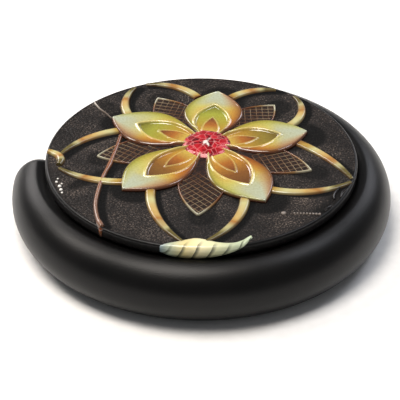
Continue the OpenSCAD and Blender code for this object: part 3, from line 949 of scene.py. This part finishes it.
def make_pad(material):
    """The rubber pad: concentric grip ribs on its lower face, and a small rounded edge."""
    outer = (pad_high.x - pad_low.x) / 2
    groove, pitch, depth = 0.5, 1.6, 0.35
    profile = [(0.0, pad_low.z)]
    r = 2.0
    while r + groove < outer - 1.2:
        profile += [(r, pad_low.z), (r + 0.08, pad_low.z + depth), (r + groove - 0.08, pad_low.z + depth),
                    (r + groove, pad_low.z)]
        r += pitch
    profile += [(outer - 0.25, pad_low.z), (outer - 0.07, pad_low.z + 0.07), (outer, pad_low.z + 0.25),
                (outer, pad_high.z), (0.0, pad_high.z)]
    shape = Shape()
    shape.loft(lathe(profile, 160), caps=False)
    shape.piece("grip_pad", [material], "disc", "pad_rubber", ["rubber_pad"], weld=0.002, sharp=35)


def dress_cad_nodes():
    """Gives each CAD part that stays its finish, and some of them a small bevel that catches light on their edges."""
    steel = turned_steel()
    # nickel plating on a sintered magnet: warm grey, nearly a mirror
    nickel = speckled("nickel_plating", "#a8a49c", "#c9c6bf", 0.6, 0.004, (0.16, 0.26), Metallic=1.0)
    finishes = {
        # injection-moulded plate with fine spark texture, then foam tape with open pores
        "face_plate": speckled("moulded_abs_plate", "#191919", "#232323", 0.3, 0.02, IOR=1.53),
        "plate_tape": speckled("tape_foam", "#c9c9c4", "#dcdcd8", 0.25, 0.05, (0.8, 0.95), IOR=1.4),
        # zinc casting under black powder coat: orange-peel texture, half dull
        "housing": speckled("powder_coated_zinc", "#141415", "#202022", 0.35, 0.03, (0.42, 0.58), IOR=1.5),
        # matt moulded cover, oiled black-oxide steel core, and waxy cream nylon washers
        "bottom_cover": speckled("moulded_abs_cover", "#18181a", "#222224", 0.2, 0.02, (0.5, 0.65), IOR=1.53),
        "hook_core": speckled("black_oxide_steel", "#1b1b1d", "#2e2e31", 0.4, 0.01, (0.3, 0.45), Metallic=0.6),
        "hinge_washers": speckled("natural_nylon", "#cfccbd", "#dedbcd", 0.3, 0.01, (0.4, 0.5), IOR=1.53),
        "hinge_bracket": steel, "bracket_screws": steel, "cover_screws": steel, "hinge_pin": steel,
        "catch_magnet": nickel, "hook_magnet": nickel}
    bevels = {"housing": 0.2, "hook_core": 0.18, "bottom_cover": 0.15, "hinge_bracket": 0.12, "cover_screws": 0.1,
              "bracket_screws": 0.1}
    for name, finish in finishes.items():
        part = frame["nodes"][name]
        part.data.materials.clear()
        part.data.materials.append(finish)
        if name in bevels:
            bevel = part.modifiers.new("edge", "BEVEL")
            bevel.width = bevels[name] * MM
            bevel.segments = 2
            bevel.limit_method = "ANGLE"
            bevel.angle_limit = math.radians(40)


# ---------------------------------------------------------------- the whole object

make_camera()
make_studio()
make_arm()
make_skin([leather_skin(), lacquered_edge()])
make_flower()
make_gem()
# gold foil print under resin: pale and bright in the middle of a band, brown at its root, with painted shade on its
# sides
gold_band = ribbon_resin("gold_print_under_resin", [(0.14, "#6c3f16"), (0.24, "#a3853c"), (0.38, "#b9b480"),
                                                    (0.6, "#b89a5c"), (0.72, "#9a6a30"), (0.86, "#aba474"),
                                                    (1.0, "#5c5228")], "#3c2206")
# the lace's border, browner and thinner than the ribbons, and its duller lattice
fine_gold = ribbon_resin("thin_gold_print", [(0.2, "#4a220c"), (0.5, "#6e4320"), (0.8, "#8a6a40"), (1.0, "#a8a48c")],
                         "#2a1608")
lattice_print = ribbon_resin("lattice_print", [(0.2, "#5c3a22"), (0.6, "#7d5f44"), (1.0, "#96866c")], "#3a2414")
# copper and pale grey foil prints under resin, for the twig and its vein
copper_print = ribbon_resin("copper_print_under_resin", [(0.1, "#5a2c14"), (0.4, "#7c4a2a"), (0.7, "#80553a"),
                                                         (1.0, "#7a5a48")], "#24110a")
silver_print = ribbon_resin("pale_metal_print", [(0.2, "#b9b0a4"), (0.8, "#6e6258")], "#3a322c")
make_ribbons(gold_band)
make_lace(lace_ground(), fine_gold, lattice_print)
make_twigs(copper_print, silver_print)
make_wing(striped_cream())
# pale tops of the embossing and white drops, both painted glints; glossy black lacquer on the buds
make_rim_details(ribbon_resin("emboss_tops_painted_glint", [(0.2, "#3a322d"), (0.9, "#8a7f76")], "#0c0a09"),
                 speckled("black_gloss_lacquer", "#0c0a09", "#1c1715", 0.3, 0.02, (0.12, 0.22), IOR=1.5),
                 speckled("white_drops_painted_glint", "#d8d4cc", "#f2f0ea", 0.3, 0.01, (0.1, 0.2), IOR=1.5))
# cast polyurethane rubber: black, dull and slightly uneven
make_pad(speckled("tacky_rubber", "#101011", "#1c1c1d", 0.25, 0.02, (0.6, 0.8), IOR=1.52))
dress_cad_nodes()
